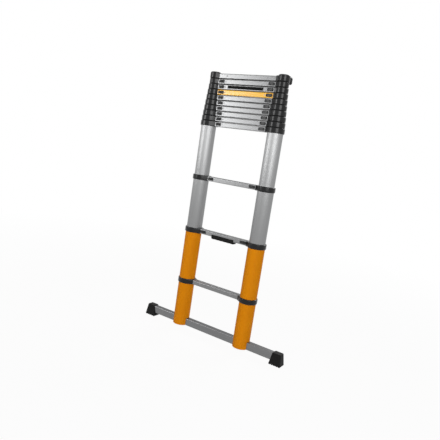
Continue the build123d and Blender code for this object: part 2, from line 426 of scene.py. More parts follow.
# the rung and bar finishes are darker copies of the tube's, with more painted shade on the rung fronts and
# the bar
rungLook = dict(
    tubeLook, stretch=(5, 700, 700), gloss=(0.32, 0.34), dust=0.03, grain=0.4, bump=0.02,
    dark=(0.19, 0.192, 0.194, 1), light=(0.21, 0.212, 0.214, 1), haze=(0.2, 0.202, 0.204, 1),
)
barLook = dict(
    tubeLook, stretch=(5, 600, 600), gloss=(0.3, 0.38), dust=0.02, grain=0.3, bump=0.03,
    dark=(0.17, 0.172, 0.175, 1), light=(0.2, 0.202, 0.205, 1), haze=(0.185, 0.187, 0.189, 1),
    rim=(0.5, 0.5, 0.5, 1),
)
rivetLook = dict(tubeLook, stretch=(260, 260, 260), gloss=(0.3, 0.45), grain=0, dark=(0.21, 0.212, 0.214, 1))
zincLook = dict(
    tubeLook, stretch=(320, 320, 320), cloudScale=120.0, gloss=(0.3, 0.48), bump=0.35, grain=0,
    dark=(0.3, 0.295, 0.27, 1), light=(0.4, 0.395, 0.365, 1), haze=(0.36, 0.36, 0.36, 1),
)

tubeMetal = metalFinish("brushedTube", tubeLook)
rungMetal = metalFinish("brushedRung", rungLook)
barMetal = metalFinish("brushedBar", barLook)
rivetMetal = metalFinish("rivetHead", rivetLook)
zincMetal = metalFinish("zincBolt", zincLook)


def paintFinish(name, look):
    material, tree, shader, place = newFinish(name)
    lines = useGroup(tree, drawnLines, place, {"Stretch": look["stretch"], "Cloud Scale": look["cloudScale"]})
    rub = useGroup(tree, edgeRub, place, {"Start": look["rubStart"], "Full": look["rubFull"]})
    tone = mixColour(tree, lines["Cloud"], look["base"], look["deep"])
    tone = layOver(tree, tone, lines["Scratch"], look["scratch"], look["scuff"])
    tone = layOver(tree, tone, rub["Mask"], look["rub"], look["scuff"])
    gloss = spread(tree, lines["Cloud"], 0, 1, *look["gloss"])
    dustOver(tree, shader, place, look, tone, gloss)
    fillInputs(tree, shader, {
        "Specular IOR Level": look["specular"],
        "Coat Weight": look["coat"],
        "Coat Roughness": look["coatGloss"],
        "Normal": relief(tree, noise(tree, place, look["peelScale"]), look["peel"], look["peelDepth"]),
    })
    return material


stileLook = {
    "base": (0.749, 0.237, 0.002, 1), "deep": (0.71, 0.214, 0.001, 1), "scuff": (0.749, 0.32, 0.01, 1),
    "stretch": (160, 160, 12), "cloudScale": 9.0, "scratch": 0.16,
    "rub": 0.35, "rubStart": 0.53, "rubFull": 0.62,
    "gloss": (0.42, 0.52), "specular": 0.05, "coat": 0.0, "coatGloss": 0.2,
    "peelScale": 620.0, "peel": 0.18, "peelDepth": 0.04 * mm,
    "dust": 0.03, "dustColour": (0.4, 0.32, 0.22, 1), "dustGloss": 0.4,
}
# the orange rung's base is a lighter, yellower copy of the stiles' orange, partly a painted highlight of the
# light the rung catches
paintedRungLook = dict(
    stileLook, base=(1.0, 0.56, 0.02, 1), deep=(1.0, 0.5, 0.014, 1), stretch=(12, 160, 160),
    gloss=(0.22, 0.3), specular=0.15, coat=1.0,
)

stilePaint = paintFinish("orangeStile", stileLook)
rungPaint = paintFinish("orangeRung", paintedRungLook)


def mouldedFinish(name, look):
    material, tree, shader, place = newFinish(name)
    skin = useGroup(tree, mouldedSkin, place, {"Grain Scale": look["grainScale"]})
    rub = useGroup(tree, edgeRub, place, {"Start": look["rubStart"], "Full": look["rubFull"]})
    tone = mixColour(tree, skin["Cloud"], look["dark"], look["light"])
    tone = layOver(tree, tone, skin["Speckle"], look["speckle"], look["worn"])
    tone = layOver(tree, tone, rub["Mask"], look["rub"], look["worn"])
    gloss = spread(tree, skin["Speckle"], 0, 1, *look["gloss"])
    dustOver(tree, shader, place, look, tone, gloss)
    fillInputs(tree, shader, {
        "Specular IOR Level": look["specular"],
        "Normal": relief(tree, skin["Height"], look["bump"], look["bumpDepth"]),
    })
    return material


collarLook = {
    "grainScale": 1500.0, "dark": (0.005, 0.005, 0.0055, 1), "light": (0.008, 0.008, 0.0085, 1),
    "worn": (0.06, 0.06, 0.063, 1), "speckle": 0.03, "rub": 0.2, "rubStart": 0.54, "rubFull": 0.66,
    "gloss": (0.17, 0.25), "specular": 0.26, "bump": 0.2, "bumpDepth": 0.08 * mm,
    "dust": 0.03, "dustColour": (0.16, 0.15, 0.14, 1), "dustGloss": 0.35,
}
leverLook = dict(collarLook, grainScale=1900.0, gloss=(0.3, 0.4), specular=0.36, rub=0.5)
rubberLook = dict(
    collarLook, grainScale=900.0, dark=(0.005, 0.005, 0.005, 1), light=(0.009, 0.009, 0.009, 1),
    gloss=(0.5, 0.64), specular=0.1, bump=0.5, dust=0.05, dustColour=(0.12, 0.11, 0.1, 1),
)
plateLook = dict(
    collarLook, grainScale=700.0, dark=(0.006, 0.006, 0.006, 1), light=(0.009, 0.009, 0.009, 1),
    gloss=(0.5, 0.6), specular=0.03, bump=0.1, speckle=0.02, dust=0.02,
)

collarBlack = mouldedFinish("collarBlack", collarLook)
leverBlack = mouldedFinish("leverBlack", leverLook)
footRubber = mouldedFinish("footRubber", rubberLook)
gripRubber = mouldedFinish("gripRubber", dict(rubberLook, grainScale=1200.0, dust=0.06))
plateBlack = mouldedFinish("plateBlack", plateLook)
insertBlack = mouldedFinish("insertBlack", dict(collarLook, dust=0.2))
print("finishes:", len(bpy.data.materials))


# geometry node trees
def geoNode(tree, kind, values, output=0, **settings):
    return addNode(tree, "GeometryNode" + kind, values, **settings).outputs[output]


def finishTree(tree, geometry, given, leave):  # instances become mesh, in the piece's material
    real = geoNode(tree, "RealizeInstances", {"Geometry": geometry})
    done = geoNode(tree, "SetMaterial", {"Geometry": real, "Material": given["Finish"]})
    fillInputs(tree, leave, {"Geometry": done})


def stileTubesTree():  # two tubes with rounded rims, one on each side of the ladder
    inputs = [("Radius", "Float"), ("Wall", "Float"), ("Bottom", "Float"), ("Top", "Float"), ("Rim", "Float"),
              ("Rim Steps", "Int"), ("Half Spacing", "Float"), ("Segments", "Int"), ("Finish", "Material")]
    tree, given, leave, keys = newGroup("stileTubes", "GeometryNodeTree", inputs, [("Geometry", "Geometry")])
    tall = calc(tree, "SUBTRACT", given["Top"], given["Bottom"])
    middle = calc(tree, "MULTIPLY", calc(tree, "ADD", given["Top"], given["Bottom"]), 0.5)
    midRadius = calc(tree, "SUBTRACT", given["Radius"], calc(tree, "MULTIPLY", given["Wall"], 0.5))
    leftX = calc(tree, "MULTIPLY", given["Half Spacing"], -1.0)
    spacing = calc(tree, "MULTIPLY", given["Half Spacing"], 2.0)
    wall = geoNode(tree, "CurvePrimitiveQuadrilateral", {"Width": given["Wall"], "Height": tall})
    rounding = {"Curve": wall, "Radius": given["Rim"], "Count": given["Rim Steps"]}
    section = geoNode(tree, "FilletCurve", rounding, mode="POLY")
    circle = geoNode(tree, "CurvePrimitiveCircle", {"Resolution": given["Segments"], "Radius": midRadius})
    tube = geoNode(tree, "CurveToMesh", {"Curve": circle, "Profile Curve": section})
    left = addNode(tree, "ShaderNodeCombineXYZ", {"X": leftX, "Z": middle}).outputs[0]
    across = addNode(tree, "ShaderNodeCombineXYZ", {"X": spacing}).outputs[0]
    line = geoNode(tree, "MeshLine", {"Count": 2, "Start Location": left, "Offset": across})
    pair = geoNode(tree, "InstanceOnPoints", {"Points": line, "Instance": tube})
    finishTree(tree, pair, given, leave)
    return tree, keys


def rowOfSeedsTree():  # a seed repeated in a straight row, joined to what carries it
    inputs = [("Carrier", "Geometry"), ("Seed", "Object"), ("Count", "Int"), ("Start", "Vector"),
              ("Step", "Vector"), ("Turn", "Vector"), ("Finish", "Material")]
    tree, given, leave, keys = newGroup("rowOfSeeds", "GeometryNodeTree", inputs, [("Geometry", "Geometry")])
    seed = geoNode(tree, "ObjectInfo", {"Object": given["Seed"]}, "Geometry")
    places = {"Count": given["Count"], "Start Location": given["Start"], "Offset": given["Step"]}
    line = geoNode(tree, "MeshLine", places)
    turn = addNode(tree, "FunctionNodeEulerToRotation", {"Euler": given["Turn"]}).outputs[0]
    row = geoNode(tree, "InstanceOnPoints", {"Points": line, "Instance": seed, "Rotation": turn})
    both = addNode(tree, "GeometryNodeJoinGeometry", {"Geometry": row})
    tree.links.new(given["Carrier"], both.inputs["Geometry"])
    finishTree(tree, both.outputs[0], given, leave)
    return tree, keys


stileTubes = stileTubesTree()
rowOfSeeds = rowOfSeedsTree()


def growMesh(mesh, tree, keys, values):  # what the tree makes takes the place of the mesh
    piece = linkPiece(mesh)
    grow = piece.modifiers.new("grow", "NODES")
    grow.node_group = tree
    for label, value in values.items():
        grow[keys[label]] = value
    bakeModifiers(piece)
    return piece


def growRow(carrier, seed, count, start, step, finish, turn=(0, 0, 0)):
    values = {"Seed": seed, "Count": count, "Start": start, "Step": step, "Turn": turn, "Finish": finish}
    return growMesh(carrier, *rowOfSeeds, values)


def seedObject(name, bm):  # a pattern for a row, removed when the rows are done
    return linkPiece(meshFrom(bm, name, None, angle=38))


# stiles
tubeSet = {"wall": 1.5 * mm, "rim": 0.4 * mm, "rimSteps": 3, "segments": 96}

for node in ("base_stile_left", "base_stile_right"):
    finishNode(node, stilePaint)

for rung in rungs[ladder["topBaseRung"]:]:
    low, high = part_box(rung["tubeNode"])
    values = {
        "Radius": rung["radius"], "Wall": tubeSet["wall"], "Bottom": low.z, "Top": high.z,
        "Half Spacing": stileX, "Rim": tubeSet["rim"], "Rim Steps": tubeSet["rimSteps"],
        "Segments": tubeSet["segments"], "Finish": tubeMetal,
    }
    piece = growMesh(bpy.data.meshes.new(f"tubes_{rung['tag']}"), *stileTubes, values)
    smoothMesh(piece.data)
    firmNormals(piece)
    layGrain(piece.data, Vector((0, 0, 1)))
    settlePiece(piece, rung["body"], "bare_aluminium", rung["tubeNode"])
print("stiles: tubes of", len(rungs) - ladder["topBaseRung"], "sections")


# rungs
rungSet = {
    "wall": 1.8 * mm, "topRound": 4 * mm, "bottomRound": 2.5 * mm, "sharpAngle": 32,
    "grooves": 5, "groovePitch": 5 * mm, "grooveWidth": 1.8 * mm, "grooveDepth": 0.8 * mm,
    "grooveRound": 0.3 * mm, "landFall": 0.4 * mm,  # the lands between the grooves are crowned
}
leverSet = {
    "slotStart": 5 * mm, "slotLength": 32.8 * mm, "slotHeight": 13.2 * mm, "play": 0.4 * mm,
    "padLength": 23 * mm, "padHeight": 12.4 * mm, "padProud": 4 * mm, "padLow": 1.5 * mm, "padCrest": 6 * mm,
    "edge": 0.8 * mm, "startRound": 1.4 * mm, "crestRound": 2.8 * mm, "endRound": 0.84 * mm,
    "plate": 4 * mm, "plateLength": 39.8 * mm, "plateHeight": 14 * mm, "blockLength": 14 * mm,
    "boltWidth": 8 * mm, "boltHeight": 6 * mm, "boltRound": 0.5 * mm,
    "ridges": 5, "ridgePitch": 3.1 * mm, "ridgeLong": 9.6 * mm, "ridgeRadius": 0.75 * mm, "ridgeSteps": 6,
    "ridgeLead": 2.2 * mm,  # from the pad's crest to its first ridge
}


def rungOutline():  # (depth, height) round the extrusion, with the slot's edges marked on the front
    half, top, slotHalf = rungDepth / 2, rungTall / 2, leverSet["slotHeight"] / 2
    topRound, bottomRound = rungSet["topRound"], rungSet["bottomRound"]
    pitch, wide, deep = rungSet["groovePitch"], rungSet["grooveWidth"] / 2, rungSet["grooveDepth"]
    tiny, fall = rungSet["grooveRound"], rungSet["landFall"]
    corners = [(-half, -top, bottomRound), (half, -top, bottomRound), (half, top, topRound)]
    for i in range(rungSet["grooves"]):
        y = ((rungSet["grooves"] - 1) / 2 - i) * pitch
        corners += [(y + wide, top - fall, tiny), (y + wide, top - deep, 0),
                    (y - wide, top - deep, 0), (y - wide, top - fall, tiny)]
        if i < rungSet["grooves"] - 1:  # the crowned land before the next groove
            land = pitch - 2 * wide
            for share in (-0.25, 0, 0.25):
                corners.append((y - pitch / 2 - share * land, top - fall * (2 * share)**2, 0))
    corners += [(-half, top, topRound), (-half, slotHalf, 0), (-half, -slotHalf, 0)]
    return roundedOutline(corners)


def rungMesh(rung, outline, name):
    bm = bmesh.new()
    half, z = rung["half"], rung["z"]
    slotOut = half - leverSet["slotStart"]
    slotIn = slotOut - leverSet["slotLength"]
    stations = [-half, -slotOut, -slotIn, slotIn, slotOut, half]
    innerY, innerZ = rungDepth / 2 - rungSet["wall"], rungTall / 2 - rungSet["wall"]
    hollow = [Vector((max(-innerY, min(innerY, p.x)), max(-innerZ, min(innerZ, p.y)))) for p in outline]
    outer = [[bm.verts.new((x, p.x, z + p.y)) for p in outline] for x in stations]
    inner = [[bm.verts.new((x, p.x, z + p.y)) for p in hollow] for x in stations]
    count = len(outline)
    cut = count - 2  # the edge between the last two marked points
    for k in range(len(stations) - 1):
        slotted = rung["levers"] and k in (1, 3)  # between slotOut and slotIn, on either side
        for i in range(count):
            j = (i + 1) % count
            if slotted and i == cut:
                continue
            bm.faces.new((outer[k][i], outer[k][j], outer[k + 1][j], outer[k + 1][i]))
            bm.faces.new((inner[k][j], inner[k][i], inner[k + 1][i], inner[k + 1][j]))
        if slotted:
            rim = [(k, cut), (k, cut + 1), (k + 1, cut + 1), (k + 1, cut)]
            for (m, i), (n, j) in zip(rim, rim[1:] + rim[:1]):
                bm.faces.new((outer[m][i], outer[n][j], inner[n][j], inner[m][i]))
    for k in (0, -1):
        for i in range(count):
            j = (i + 1) % count
            bm.faces.new((outer[k][i], outer[k][j], inner[k][j], inner[k][i]))
    return meshFrom(bm, name, rungPaint if rung["painted"] else rungMetal, rungSet["sharpAngle"])


outline = rungOutline()
for rung in rungs:
    piece = linkPiece(rungMesh(rung, outline, f"rung_{rung['tag']}_bar"))
    firmNormals(piece)
    layGrain(piece.data, Vector((1, 0, 0)))
    slot = "orange_paint" if rung["painted"] else "bare_aluminium"
    settlePiece(piece, rung["body"], slot, rung["rungNode"])
print("rungs:", len(rungs))


# rivets through the rung walls into the collars' tongues
rivetSet = {
    "inset": 47 * mm, "radius": 3.6 * mm, "proud": 0.9 * mm, "sunk": 0.6 * mm, "sides": 20,
    # the head as shares of radius and proud, with a dimple in its middle
    "head": ((1, 0.25), (0.93, 0.5), (0.7, 0.85), (0.4, 1), (0.28, 0.8), (0.12, 0.72)),
}


def rivetSeed():
    bm = bmesh.new()
    radius, proud = rivetSet["radius"], rivetSet["proud"]
    profile = [(radius, -rivetSet["sunk"])] + [(out * radius, up * proud) for out, up in rivetSet["head"]]
    loftRings(bm, latheRings(profile, rivetSet["sides"]))
    return seedObject("rivetSeed", bm)


rivet = rivetSeed()
for rung in rungs:
    reach = rung["half"] - rivetSet["inset"]
    for word, y, turn in (("front", rungFront, math.pi / 2), ("back", -rungFront, -math.pi / 2)):
        empty = bpy.data.meshes.new(f"rung_{rung['tag']}_rivets_{word}")
        start, step = (-reach, y, rung["z"]), (2 * reach, 0, 0)
        piece = growRow(empty, rivet, 2, start, step, rivetMetal, turn=(turn, 0, 0))
        settlePiece(piece, rung["body"], "bare_aluminium")
print("rivets done")


# collars, clamps and caps round the tubes
collarSet = {
    "lip": 1.4 * mm, "spread": 40, "bossRound": 2.5 * mm, "seat": 0.05 * mm, "arcSteps": 60, "endSteps": 9,
    "footRound": 4 * mm, "headRound": 4.2 * mm,
    "bossShare": 0.25,  # the boss keeps that share of the rounding
    "boreEdge": 0.7 * mm, "rimDepth": 0.95 * mm, "rimBevel": 0.38 * mm, "rimGap": 0.35 * mm,
}
capSet = {
    "roof": 2 * mm, "headRound": 1.6 * mm, "crownRound": 6 * mm, "crownSteps": 6, "crownInset": 0.15 * mm,
    "sink": 3 * mm, "dish": 0.6 * mm, "dishRadius": 14 * mm, "sides": 64,
}


def collarOutline(rung):  # right-hand side, the rung lies towards -X
    outer = rung["radius"] + rung["collarWall"]
    halfEnd = rungDepth / 2 + collarSet["lip"]
    halfRoot = max(halfEnd, outer * math.sin(math.radians(collarSet["spread"])))
    root = -math.sqrt(max(outer**2 - halfRoot**2, 0))
    end = -rung["radius"] - rung["reach"]
    soft = collarSet["bossRound"]
    flat = halfEnd - soft * 1.02  # just clear of the rounded corners
    ends = [(end, flat - 2 * flat * i / collarSet["endSteps"], 0) for i in range(collarSet["endSteps"] + 1)]
    corners = [(end, halfEnd, soft)] + ends + [(end, -halfEnd, soft)]
    first = math.atan2(-halfRoot, root)
    steps = collarSet["arcSteps"]
    for i in range(steps + 1):
        angle = first - 2 * first * i / steps
        corners.append((outer * math.cos(angle), outer * math.sin(angle), 0))
    points = roundedOutline(corners)
    shares = [collarSet["bossShare"] if i < len(points) - steps - 1 else 1 for i in range(len(points))]
    return points, shares


def onSide(points, side, z):  # lays a right-hand outline at its stile, mirrored for the left one
    return [Vector((side * (stileX + p.x), p.y, z)) for p in points]


def boreOf(points, radius):  # points of the bore, each facing its point of the outline
    return [p.normalized() * radius for p in points]


def collarFoot(outline, shares, bore):  # (outline, height) from the bore round the lower edge
    half, edge = collarHeight / 2, collarSet["boreEdge"]
    rings = [(boreOf(outline, bore), -half + edge), (boreOf(outline, bore + edge), -half)]
    for inset, drop in quarterRound(collarSet["footRound"])[::-1]:
        rings.append((insetOutline(outline, inset, shares), -half + drop))
    return rings


def collarMesh(rung, name):
    bm = bmesh.new()
    outline, shares = collarOutline(rung)
    half, edge = collarHeight / 2, collarSet["boreEdge"]
    bore = rung["radius"] + collarSet["seat"]
    rings = collarFoot(outline, shares, bore)
    for inset, drop in quarterRound(collarSet["headRound"]):
        rings.append((insetOutline(outline, inset, shares), half - drop))
    mouth = [(bore + edge, half), (bore, half - edge)]
    if rung["levers"]:  # a thin rim closes the gap round the next tube
        rim = rungs[rung["number"]]["radius"] + collarSet["rimGap"]
        under, bevel = half - collarSet["rimDepth"], collarSet["rimBevel"]
        mouth = [(rim + bevel, half), (rim, half - bevel), (rim, under), (bore, under)]
    rings += [(boreOf(outline, radius), height) for radius, height in mouth]
    for side in (-1, 1):
        loftRings(bm, [onSide(points, side, rung["z"] + height) for points, height in rings], wrap=True)
    return meshFrom(bm, name, collarBlack)


def capMesh(rung, name):
    bm = bmesh.new()
    outline, shares = collarOutline(rung)
    half, z = collarHeight / 2, rung["z"]
    bore = rung["radius"] + collarSet["seat"]
    rings = [(boreOf(outline, bore), half - capSet["roof"])] + collarFoot(outline, shares, bore)
    bossOnly = [1 if share < 1 else 0 for share in shares]
    for inset, drop in quarterRound(capSet["headRound"]):
        rings.append((insetOutline(outline, inset, bossOnly), half - drop))
    outer = rung["radius"] + rung["collarWall"] - capSet["crownInset"]
    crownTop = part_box("top_caps")[1].z - z
    dish, dishRadius = capSet["dish"], capSet["dishRadius"]
    crown = [(outer, half - capSet["sink"])]
    for inset, drop in quarterRound(capSet["crownRound"], capSet["crownSteps"]):
        crown.append((outer - inset, crownTop - drop))
    crown += [(dishRadius, crownTop), (dishRadius - 2 * dish, crownTop - dish)]
    dome = latheRings(crown, capSet["sides"])
    for side in (-1, 1):
        loftRings(bm, [onSide(points, side, z + height) for points, height in rings])
        loftRings(bm, [[p + Vector((side * stileX, 0, z)) for p in ring] for ring in dome])
    return meshFrom(bm, name, collarBlack)


for rung in rungs:
    name = f"{'caps' if rung['top'] else 'collars'}_{rung['tag']}_ring"
    piece = linkPiece((capMesh if rung["top"] else collarMesh)(rung, name))
    firmNormals(piece)
    settlePiece(piece, rung["body"], "black_plastic", rung["collarNode"])
print("collars:", len(rungs), "pairs")


# release levers, with the bezels their pads slide in
bezelSet = {
    "overLong": 1.7 * mm, "baseReach": 4.9 * mm, "overHigh": 1.25 * mm, "round": 4.6 * mm,
    "innerRound": 2.2 * mm, "lining": 0.1 * mm, "slotGap": 0.01 * mm, "proud": 0.7 * mm, "edge": 0.45 * mm,
}


def bezelMesh(rung, name):
    bm = bmesh.new()
    start, high = leverSet["slotStart"], leverSet["slotHeight"] / 2
    end = start + leverSet["slotLength"]
    along, over = bezelSet["overLong"], bezelSet["overHigh"]
    atBase = rung["number"] == ladder["topBaseRung"]  # there the bezel reaches to the collar
    reach = bezelSet["baseReach"] if atBase else along
    outer = roundedBox(start - reach, end + along, -high - over, high + over, bezelSet["round"])
    inner, slotEdge = [roundedBox(start + gap, end - gap, gap - high, high - gap, bezelSet["innerRound"])
                       for gap in (bezelSet["lining"], bezelSet["slotGap"])]
    out, back = rungFront - bezelSet["proud"], rungFront + rungSet["wall"]
    rings = [(inner, back)] + frontRings(inner, outer, out, bezelSet["edge"])
    rings += [(outer, rungFront), (slotEdge, rungFront), (slotEdge, back)]
    for side in (-1, 1):
        loftRings(bm, [[Vector((side * (rung["half"] - p.x), y, rung["z"] + p.y)) for p in points]
                       for points, y in rings], wrap=True)
    return meshFrom(bm, name, leverBlack)


def leverMesh(rung, side, name):
    bm = bmesh.new()

    def loftLevels(levels):  # levels are (outline from above, height)
        loftRings(bm, [[Vector((side * (rung["half"] - p.x), p.y, rung["z"] + z)) for p in points]
                       for points, z in levels])

    plateFront = rungFront + rungSet["wall"] + leverSet["play"]
    plateBack = plateFront + leverSet["plate"]
    start = leverSet["slotStart"] + leverSet["play"]
    end = start + leverSet["padLength"]
    crestY, lowY = rungFront - leverSet["padProud"], rungFront - leverSet["padLow"]
    pad = roundedOutline([
        (end, plateFront, 0), (end, lowY, leverSet["endRound"]),
        (start + leverSet["padCrest"], crestY, leverSet["crestRound"]),
        (start, crestY, leverSet["startRound"]), (start, plateFront, 0),
    ])
    top, edges = leverSet["padHeight"] / 2, softEdge(leverSet["edge"])
    lower = [(insetOutline(pad, inset), drop - top) for inset, drop in edges]
    upper = [(insetOutline(pad, inset), top - drop) for inset, drop in edges[::-1]]
    loftLevels(lower + upper)
    start, end = leverSet["play"], leverSet["plateLength"]
    blockEnd, halfBolt = start + leverSet["blockLength"], leverSet["boltWidth"] / 2
    slider = [Vector(p) for p in ((start, plateFront), (start, halfBolt), (blockEnd, halfBolt),
                                  (blockEnd, plateBack), (end, plateBack), (end, plateFront))]
    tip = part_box(f"lever_{rung['tag']}_right")[1].x  # the bolt's end, past the end of the rung
    bolt = roundedBox(rung["half"] - tip, blockEnd, -halfBolt, halfBolt, leverSet["boltRound"], steps=2)
    for plan, tall in ((slider, leverSet["plateHeight"]), (bolt, leverSet["boltHeight"])):
        loftLevels([(plan, -tall / 2), (plan, tall / 2)])
    return meshFrom(bm, name, None)


def ridgeSeed():  # a short half-round bar across the thumb pad, sunk a little into it
    bm = bmesh.new()
    radius, half, steps = leverSet["ridgeRadius"], leverSet["ridgeLong"] / 2, leverSet["ridgeSteps"]
    rise, taper, tip = 0.8 * radius, 0.6 * radius, 0.4  # its ends taper to the tip's share of its size
    turns = [math.pi * i / steps for i in range(steps + 1)]
    arc = [(-radius * math.cos(a), -rise * math.sin(a)) for a in turns]
    section = arc + [(radius, rise), (-radius, rise)]
    levels = ((-half, tip), (taper - half, 1), (half - taper, 1), (half, tip))
    loftRings(bm, [[Vector((x * grow, y * grow, z)) for x, y in section] for z, grow in levels])
    return seedObject("ridgeSeed", bm)


ridge = ridgeSeed()
slope = (leverSet["padProud"] - leverSet["padLow"]) / (leverSet["padLength"] - leverSet["padCrest"])
ridgeStart = leverSet["slotStart"] + leverSet["play"] + leverSet["padCrest"] + leverSet["ridgeLead"]
ridgeY = rungFront - leverSet["padProud"] + slope * leverSet["ridgeLead"]
levered = [rung for rung in rungs if rung["levers"]]
for rung in levered:
    bezels = linkPiece(bezelMesh(rung, f"rung_{rung['tag']}_bezels"))
    settlePiece(bezels, rung["body"], "black_plastic")
    for side, word in ((-1, "left"), (1, "right")):
        node = f"lever_{rung['tag']}_{word}"
        pad = leverMesh(rung, side, f"{node}_pad")
        start = (side * (rung["half"] - ridgeStart), ridgeY, rung["z"])
        step = (-side * leverSet["ridgePitch"], slope * leverSet["ridgePitch"], 0)
        piece = growRow(pad, ridge, leverSet["ridges"], start, step, leverBlack)
        firmNormals(piece)
        settlePiece(piece, node, "black_plastic", node)
print("levers: 2 on each of", len(levered), "rungs")


# feet on the stabiliser bar
footSet = {
    "topInner": 399 * mm, "topOuter": 445.5 * mm, "topHalfDepth": 19.5 * mm, "corner": 5 * mm,
    "soleEdge": 1 * mm, "topEdge": 3 * mm,  # rounded by the next line's (drop, inset) shares of it
    "topRound": ((1, 0), (0.62, 0.08), (0.3, 0.3), (0.08, 0.62), (0, 1)),
    "cleats": 5, "cleatRise": 2.5 * mm, "cleatWidth": 9.5 * mm, "cleatPitch": 13.5 * mm,
    "cleatInset": 1.5 * mm, "cleatRound": 2 * mm, "cleatEdge": 0.6 * mm,
    "rim": 2.2 * mm, "rimRound": 3 * mm, "rimProud": 1 * mm, "rimSink": 2 * mm, "rimEdge": 0.5 * mm,
    "fit": 0.15 * mm, "fitRound": 2 * mm,
}
barLow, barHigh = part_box("stabiliser_bar")
footLow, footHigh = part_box("foot_right")


def footInner(z):  # the right foot's sloped face towards the middle of the bar
    return footLow.x + (footSet["topInner"] - footLow.x) * z / footHigh.z


def footOutline(z, inset):  # right foot in plan at height z
    share = z / footHigh.z
    outerX = footHigh.x + (footSet["topOuter"] - footHigh.x) * share
    half = footHigh.y + (footSet["topHalfDepth"] - footHigh.y) * share
    return insetOutline(roundedBox(footInner(z), outerX, -half, half, footSet["corner"]), inset)


def aroundBar(gap, radius):  # (depth, height) round the bar
    y, z0, z1 = barHigh.y + gap, barLow.z - gap, barHigh.z + gap
    return roundedBox(-y, y, z0, z1, radius, steps=4)


def footMesh(side, name):
    bm = bmesh.new()
    sole, top, soft = footSet["cleatRise"], footHigh.z, footSet["topEdge"]
    levels = [(sole, footSet["soleEdge"]), (sole + footSet["soleEdge"], 0)]
    levels += [(top - drop * soft, inset * soft) for drop, inset in footSet["topRound"]]
    loftRings(bm, [[Vector((side * p.x, p.y, z)) for p in footOutline(z, inset)] for z, inset in levels])
    outer = aroundBar(footSet["rim"], footSet["rimRound"])
    inner = aroundBar(footSet["fit"], footSet["fitRound"])
    sink = footSet["rimSink"]
    rings = frontRings(inner, outer, -footSet["rimProud"], footSet["rimEdge"])
    rings = [(inner, sink)] + rings + [(outer, sink)]
    loftRings(bm, [[Vector((side * (footInner(p.y) + step), p.x, p.y)) for p in points]
                   for points, step in rings], wrap=True)
    return meshFrom(bm, name, None)


def cleatSeed():  # one bar of the sole's tread, right across the foot
    bm = bmesh.new()
    half, wide = footHigh.y - footSet["cleatInset"], footSet["cleatWidth"] / 2
    edge = footSet["cleatEdge"]
    plan = roundedBox(-wide, wide, -half, half, footSet["cleatRound"], steps=4)
    levels = ((0, edge), (edge, 0), (footSet["cleatRise"] + edge, 0))
    loftRings(bm, [[Vector((p.x, p.y, z)) for p in insetOutline(plan, inset)] for z, inset in levels])
    return seedObject("cleatSeed", bm)


cleat = cleatSeed()
firstCleat = (footLow.x + footHigh.x) / 2 - (footSet["cleats"] - 1) / 2 * footSet["cleatPitch"]
for side, node in ((-1, "foot_left"), (1, "foot_right")):
    boot = footMesh(side, f"{node}_boot")
    start, step = (side * firstCleat, 0, 0), (side * footSet["cleatPitch"], 0, 0)
    piece = growRow(boot, cleat, footSet["cleats"], start, step, footRubber)
    firmNormals(piece)
    settlePiece(piece, "base", "black_rubber", node)

barSet = {"wall": 2 * mm, "corner": 3.2 * mm, "innerCorner": 1.2 * mm}


def barMesh(name):
    bm = bmesh.new()
    half = barHigh.x
    outer, inner = [roundedBox(barLow.y + wall, barHigh.y - wall, barLow.z + wall, barHigh.z - wall, radius)
                    for wall, radius in ((0, barSet["corner"]), (barSet["wall"], barSet["innerCorner"]))]
    rings = ((inner, -half), (outer, -half), (outer, half), (inner, half))
    loftRings(bm, [[Vector((x, p.x, p.y)) for p in points] for points, x in rings], wrap=True)
    return meshFrom(bm, name, barMetal)


bar = linkPiece(barMesh("stabiliser_bar_tube"))
firmNormals(bar)
layGrain(bar.data, Vector((1, 0, 0)))
settlePiece(bar, "base", "bare_aluminium", "stabiliser_bar")
finishNode("bar_inserts", insertBlack)
finishNode("bar_bolts", zincMetal)
print("feet and bar done")


# carry grip under rung 2
gripSet = {
    "corner": 9 * mm, "lipRound": 0.8 * mm, "mouthRound": 0.3 * mm, "seatRound": 2 * mm, "fit": 0.05 * mm,
    "endRound": 3 * mm, "endFlat": 12 * mm, "edge": 0.9 * mm, "wave": 0.8 * mm, "waves": 5,
    "stations": 60, "roundSteps": 5, "sharpAngle": 45,
}
gripLow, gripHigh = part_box("carry_grip")


def gripOutline(lift, inset):  # (depth, height) of the saddle
    half, bottom, top = gripHigh.y, gripLow.z + lift, gripHigh.z
    inner = rungDepth / 2 + gripSet["fit"]
    seat = rungs[ladder["topBaseRung"] - 1]["z"] - rungTall / 2 - gripSet["fit"]
    soft, lip, mouth = gripSet["corner"], gripSet["lipRound"], gripSet["mouthRound"]
    corners = [(-half, bottom, soft), (half, bottom, soft), (half, top, lip), (inner, top, mouth),
               (inner, seat, gripSet["seatRound"]), (-inner, seat, gripSet["seatRound"]),
               (-inner, top, mouth), (-half, top, lip)]
    return insetOutline(roundedOutline(corners, gripSet["roundSteps"]), inset)


def gripMesh(name):
    bm = bmesh.new()
    half, stations, rings = gripHigh.x, gripSet["stations"], []
    soft, wavy = gripSet["endRound"], half - gripSet["endFlat"]
    for i in range(stations + 1):
        x = -half + 2 * half * i / stations
        near = max(0.0, (abs(x) - (half - soft)) / soft)
        lift = soft * (1 - math.sqrt(max(0.0, 1 - near**2)))
        if abs(x) < wavy:  # finger grooves along the underside
            lift += gripSet["wave"] * (1 - math.cos(math.pi * gripSet["waves"] * (x + wavy) / wavy)) / 2
        inset = gripSet["edge"] if i in (0, stations) else 0
        rings.append([Vector((x, p.x, p.y)) for p in gripOutline(lift, inset)])
    loftRings(bm, rings)
    return meshFrom(bm, name, gripRubber, gripSet["sharpAngle"])


grip = linkPiece(gripMesh("carry_grip_saddle"))
settlePiece(grip, "base", "black_rubber", "carry_grip")


